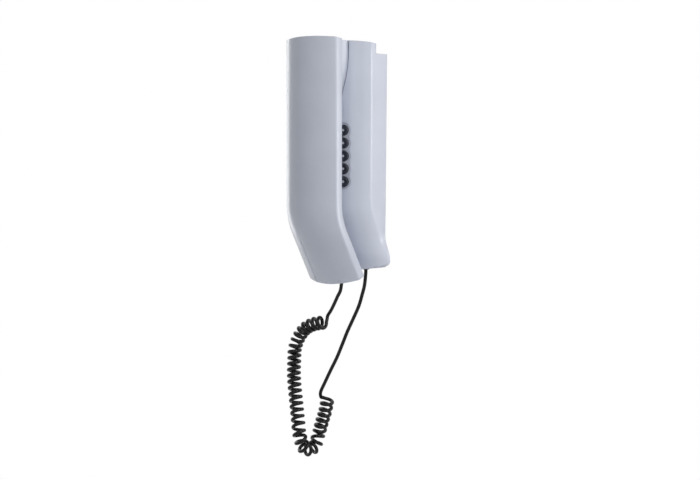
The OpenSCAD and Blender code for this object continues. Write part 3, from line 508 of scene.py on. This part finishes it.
def drawSection(f):
    radius = barrelRadius(f)
    centre = f["front"] + radius
    seam = f["front"] + f["crown"] + f["skirt"]
    inset = f["halfWidth"] - f["corner"]
    turn = math.asin(inset / (radius - f["corner"]))
    middle = centre - (radius - f["corner"]) * math.cos(turn)
    cornerFrom = radius * math.sin(turn)
    bareStart()
    bpy.ops.mesh.primitive_circle_add(
        vertices=f["circleSides"], radius=radius, location=(0, centre, f["bendStart"]))
    shell = bpy.context.object
    shell.name = "handset_front"
    bpy.ops.object.transform_apply(location=True, rotation=True, scale=True)
    bpy.ops.object.mode_set(mode="EDIT")
    for side in (-1, 1):
        cutAll((side * cornerFrom, 0, 0), (side, 0, 0), clear_outer=True, threshold=exact)
    for k in (-1, 0, 1):
        cutAll((f["creaseAt"] + k * f["creaseHalf"], 0, 0), (1, 0, 0))
    cutAll((0, centre, 0), (0, 1, 0), clear_outer=True)
    # round corner and straight side, on the left and on the right
    arc = [turn + (math.pi / 2 - turn) * k / f["cornerSteps"] for k in range(f["cornerSteps"] + 1)]
    outline = [(inset + f["corner"] * math.sin(a), middle - f["corner"] * math.cos(a)) for a in arc]
    outline.append((f["halfWidth"], seam))
    for side in (-1, 1):
        pick(shell, "VERT", lambda p: side * p.x > cornerFrom - pickNear)
        for (x, y), (nextX, nextY) in zip(outline, outline[1:]):
            drawBy((side * (nextX - x), nextY - y, 0))
    return shell


def drawOut(shell, f):
    pivot, draw = mouthLine(f)
    bpy.ops.mesh.select_all(action="SELECT")
    drawBy((0, 0, f["top"] - f["bendStart"] + f["topSpare"]))
    pick(shell, "EDGE", lambda p: p.z < f["bendStart"] + pickNear)
    bpy.ops.mesh.spin(
        steps=f["bendSteps"], angle=-math.radians(f["slant"]), center=pivot, axis=(1, 0, 0))
    for length in (f["creaseRunIn"], f["mouth"] - f["creaseRunIn"]):
        drawBy(length * draw)


# drawing out leaves faces and edges in another order on each run: here they get one order
def settleOrder(shell, f):
    bpy.context.scene.cursor.location = f["sortFrom"]
    bpy.ops.mesh.select_mode(type="VERT")
    bpy.ops.mesh.select_all(action="SELECT")
    bpy.ops.mesh.sort_elements(type="CURSOR_DISTANCE", elements={"VERT", "FACE"})
    bpy.ops.object.mode_set(mode="OBJECT")
    mesh = shell.data
    points = [v.co.copy() for v in mesh.vertices]
    faces = [tuple(p.vertices) for p in mesh.polygons]
    mesh.clear_geometry()
    mesh.from_pydata(points, [], faces)


def closeEnds(shell, f):
    pivot, draw = mouthLine(f)
    pick(shell, "EDGE", lambda p: (p - pivot).dot(draw) > f["mouth"] - pickNear)
    bpy.ops.mesh.edge_face_add()
    tilt = math.radians(f["topTilt"])
    slope = Vector((0, math.sin(tilt), math.cos(tilt)))
    peak = Vector((0, f["front"], f["top"]))
    cutAll(peak, slope, clear_outer=True)
    pick(shell, "EDGE", lambda p: abs((p - peak).dot(slope)) < exact)
    bpy.ops.mesh.edge_face_add()
    mergeAll(exact)
    bpy.ops.mesh.normals_make_consistent(inside=False)
    bpy.ops.object.mode_set(mode="OBJECT")
    # an open shell may come out facing inwards
    if min(shell.data.polygons, key=lambda p: p.center.y).normal.y > 0:
        bpy.ops.object.mode_set(mode="EDIT")
        bpy.ops.mesh.flip_normals()
        bpy.ops.object.mode_set(mode="OBJECT")


# crease along the left of the mouth end
def foldCrease(shell, f):
    pivot, draw = mouthLine(f)
    lean = math.radians(f["slant"])
    turn = math.asin(f["creaseAt"] / barrelRadius(f))
    pick(shell, "VERT", lambda p: abs(p.x - f["creaseAt"]) < pickNear
         and (p - pivot).dot(draw) > f["creaseRunIn"] / 2)
    inward = Vector((
        -math.sin(turn), math.cos(turn) * math.cos(lean), math.cos(turn) * math.sin(lean)))
    bpy.ops.transform.translate(value=f["creaseDeep"] * inward)
    bpy.ops.object.mode_set(mode="OBJECT")


def makeFrontShell(f):
    shell = drawSection(f)
    drawOut(shell, f)
    settleOrder(shell, f)
    closeEnds(shell, f)
    applyModifier(shell, "SOLIDIFY", {
        "thickness": f["wall"], "offset": -1.0, "use_even_offset": True})
    bpy.ops.object.mode_set(mode="EDIT")
    mergeAll(f["innerMerge"])
    bpy.ops.object.mode_set(mode="OBJECT")
    softEdges(shell, f["edge"], f["edgeSteps"], f["edgeAngle"])
    foldCrease(shell, f)
    smoothShade(shell, f["smoothAngle"])
    return shell


handsetFront = makeFrontShell(frontShell)
dress(handsetFront, "handsetWhite", "handset_front_shell")
print("front shell:", len(handsetFront.data.polygons), "faces")

# pieces whose solids are right: a merged copy, with its name, its finish and its edges' softened width
copies = {
    "handset_rear_shell": ("handset_rear", "handsetWhite", 0.0003),
    "base_housing": ("cradle_housing", "baseWhite", 0),
    "rear_plate": ("wall_plate", "baseWhite", 0.0004),
    "key_bezel": ("key_frame", "bezelGrey", 0.0002),
    "base_cord_gland": ("base_strain_relief", "glandRubber", 0.0003),
    "handset_cord_gland": ("handset_strain_relief", "glandRubber", 0.0003),
    "cover_screw": ("cover_screw_head", "zincSteel", 0.0003),
    "handset_screws": ("handset_screw_heads", "zincSteel", 0.0003),
}
copies.update({"key_%d" % i: ("call_key_%d" % i, "keyInk", 0.0004) for i in range(1, 6)})

# heights at which long bowed faces are cut, so that their shading stays even
ringPitch, ringsEachWay = 0.004, 26
ringCuts = [ringPitch * k for k in range(-ringsEachWay, ringsEachWay + 1)]

# how a copy is cleaned and softened, and what differs on two of them
copyForm = {
    "merge": 2e-6, "flatWithin": 0.2, "rings": [], "sliver": 0,
    "edgeSteps": 3, "edgeAngle": 35, "smoothAngle": 30}
ownForm = {
    "handset_rear_shell": {"rings": ringCuts, "sliver": 6e-5, "edgeSteps": 2},  # slivers stop a bevel
    "base_housing": {"rings": ringCuts},
}

# the housing's bow, an ellipse that tapers: its corners get the bow's own normals
housingBow = {
    "top": 0.1038, "low": -0.039, "topHalf": 0.036, "lowHalf": 0.03395, "rear": -0.017,
    "depth": 0.024, "straightTo": -0.0351, "near": 0.001, "within": 12.0,
    "rimTop": 0.0925, "rimLow": -0.074, "rimTopHalf": 0.0353, "rimLowHalf": 0.0333, "onRim": 5e-5,
    "creaseTop": (0, -0.021249, 0.1058), "creaseLow": (0, -0.01984, -0.035), "creaseHalf": 0.0016}


def bowTaper(b):
    return (b["topHalf"] - b["lowHalf"]) / (b["top"] - b["low"])


# place on the bow's ellipse, as parts of its half width and its depth
def onBow(p, b):
    half = b["topHalf"] + bowTaper(b) * (p.z - b["top"])
    return half, p.x / half, (p.y - b["rear"]) / b["depth"]


def onCrease(p, b):
    slant = (b["rimTopHalf"] - b["rimLowHalf"]) / (b["rimTop"] - b["rimLow"])
    side = b["rimTopHalf"] + slant * (p.z - b["rimTop"])
    return abs(abs(p.x) - side) < b["onRim"]


def cutBesideCrease(b):
    down = Vector(b["creaseLow"]) - Vector(b["creaseTop"])
    back = down.cross(Vector((1, 0, 0))).normalized()
    for side in (-1, 1):
        cutAll(Vector(b["creaseTop"]) + side * b["creaseHalf"] * back, back)


def bowNormals(piece, b):
    mesh = piece.data
    normals = [Vector((0, 0, 0)) for corner in mesh.loops]
    for face in mesh.polygons:
        for i in face.loop_indices:
            p = mesh.vertices[mesh.loops[i].vertex_index].co
            half, u, v = onBow(p, b)
            if (p.z > b["straightTo"] and abs(math.hypot(u, v) - 1) < b["near"]
                    and not onCrease(p, b)):
                normal = Vector((u / half, v / b["depth"], -u * u * bowTaper(b) / half)).normalized()
                if normal.angle(face.normal) < math.radians(b["within"]):
                    normals[i] = normal
    mesh.normals_split_custom_set(normals)


# the ear cup's top: the solid's sloping face is made level, as high as the front shell's edge beside it
cupTop = {"slopeFrom": (0, -0.069, 0.1045), "tilt": 9.0, "onSlope": 2e-5, "level": 0.1034}


def levelCupTop(piece, c):
    tilt = math.radians(c["tilt"])
    slope = Vector((0, math.sin(tilt), math.cos(tilt)))
    pick(piece, "VERT", lambda p: abs((p - Vector(c["slopeFrom"])).dot(slope)) < c["onSlope"])
    bpy.ops.transform.resize(value=(1, 1, 0), center_override=(0, 0, c["level"]))


def finishedCopy(node, name, width):
    form = {**copyForm, **ownForm.get(node, {})}
    piece = bpy.data.objects.new(name, cadNodes[node].data.copy())
    bpy.context.collection.objects.link(piece)
    holdPiece(piece)
    bpy.ops.object.mode_set(mode="EDIT")
    mergeAll(form["merge"])
    bpy.ops.mesh.dissolve_limited(angle_limit=math.radians(form["flatWithin"]))
    if node == "handset_rear_shell":
        levelCupTop(piece, cupTop)
    for height in form["rings"]:
        cutAll((0, 0, height), (0, 0, 1))
    if node == "base_housing":
        cutBesideCrease(housingBow)
    if form["sliver"]:
        mergeAll(form["sliver"])
    bpy.ops.object.mode_set(mode="OBJECT")
    if width:
        softEdges(piece, width, form["edgeSteps"], form["edgeAngle"])
    smoothShade(piece, form["smoothAngle"])
    if width:
        applyModifier(piece, "WEIGHTED_NORMAL", {"keep_sharp": True})
    if node == "base_housing":
        bowNormals(piece, housingBow)
    return piece


for node, (name, finish, width) in copies.items():
    dress(finishedCopy(node, name, width), finish, node)
print("copies finished:", len(copies))

# inside pieces keep their solids and get a finish
insides = {
    "matSilicone": ["key_mat"],
    "greenBoard": ["key_board", "main_board"],
    "darkPlastic": ["hook_lever", "hook_switch", "ringer", "line_chip"],
    "capacitorBlue": ["capacitors"],
    "terminalGreen": ["terminal_block"],
    "capsuleGrey": ["earpiece_capsule"],
    "glandRubber": ["earpiece_gasket", "microphone_boot"],
    "zincSteel": [
        "microphone_capsule", "key_board_screws", "board_screws", "hook_pin", "hook_spring",
        "terminal_screws"],
}
for finish, nodes in insides.items():
    for node in nodes:
        for held in cadNodes[node].material_slots:
            held.material = finishes[finish]
print("inside pieces finished:", sum(len(nodes) for nodes in insides.values()))

# the cord's halves: the handset's is baked in place and held by no body, the base's is held by the base
for half, path, exitPoint, nodes in (
        (nearCord, nearPath, cordForm["handsetExit"][0], ("cord_handset_tail", "cord_coil")),
        (farCord, farPath, cordForm["baseExit"][0], ("cord_base_tail",))):
    half.data.materials.append(finishes["cordSheath"])
    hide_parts(*nodes)
    round(pathLength(path), 3)
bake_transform(nearCord)
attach(farCord, "base")
print("cord dressed")

# pale floor and soft studio lights: a large one and a fill on the right, and a strip on each side
studio = {
    "floorAt": -0.75, "floorSize": 14.0, "floorCuts": 8,
    "floorShade": (0.82, 0.83, 0.85, 1), "floorRough": 0.9,
    "surround": (0.90, 0.94, 1.0), "surroundLevel": 0.27,
    "aim": (0, -0.03, -0.02),
    "lights": [
        {"name": "rightSoftbox", "place": (2.1, -0.5, 1.5), "size": (0.9, 0.9), "power": 32},
        {"name": "rightStrip", "place": (1.69, 1.42, 0.3), "size": (0.2, 1.0), "power": 8},
        {"name": "leftStrip", "place": (-1.9, 0.3, 0.3), "size": (0.5, 2.4), "power": 9},
        {"name": "frontFill", "place": (1.5, -2.2, 0.8), "size": (1.4, 1.4), "power": 7},
    ],
}


# 1 where the camera, a reflection or clear plastic sees the surround, which is then white
def seenDirectly(tree):
    ray = tree.nodes.new("ShaderNodeLightPath")
    seen = Wire(tree, ray.outputs["Is Camera Ray"])
    shine = Wire(tree, ray.outputs["Is Glossy Ray"]) + Wire(tree, ray.outputs["Is Transmission Ray"])
    return seen.math("MINIMUM", seen + shine, 1.0)


def addSurround(s):
    world = bpy.data.worlds.new("studio")
    world.use_nodes = True
    bpy.context.scene.world = world
    tree = world.node_tree
    seen = seenDirectly(tree)
    plug(tree.nodes["Background"], {
        "Color": seen.shades(s["surround"], (1, 1, 1)),
        "Strength": s["surroundLevel"] + (1 - s["surroundLevel"]) * seen})


def addFloor(s):
    bareStart()
    bpy.ops.mesh.primitive_grid_add(
        x_subdivisions=s["floorCuts"], y_subdivisions=s["floorCuts"], size=s["floorSize"],
        location=(0, 0, s["floorAt"]))
    floor = bpy.context.object
    floor.name = "paleFloor"
    material, shader = newMaterial("paleFloor", {
        "Roughness": s["floorRough"], "Base Color": s["floorShade"]})
    tree = material.node_tree
    glow = tree.nodes.new("ShaderNodeEmission")
    mix = tree.nodes.new("ShaderNodeMixShader")
    tree.links.new(seenDirectly(tree).socket, mix.inputs[0])
    tree.links.new(shader.outputs[0], mix.inputs[1])
    tree.links.new(glow.outputs[0], mix.inputs[2])
    tree.links.new(mix.outputs[0], tree.nodes["Material Output"].inputs["Surface"])
    floor.data.materials.append(material)


def addLights(s):
    for lamp in s["lights"]:
        data = bpy.data.lights.new(lamp["name"], "AREA")
        data.shape = "RECTANGLE"
        data.size, data.size_y = lamp["size"]
        data.energy = lamp["power"]
        made = bpy.data.objects.new(lamp["name"], data)
        made.location = lamp["place"]
        made.rotation_euler = (Vector(s["aim"]) - made.location).to_track_quat("-Z", "Y").to_euler()
        bpy.context.collection.objects.link(made)


addSurround(studio)
addFloor(studio)
addLights(studio)
bpy.context.scene.view_settings.view_transform = "Standard"
print("studio lit")

bareStart()
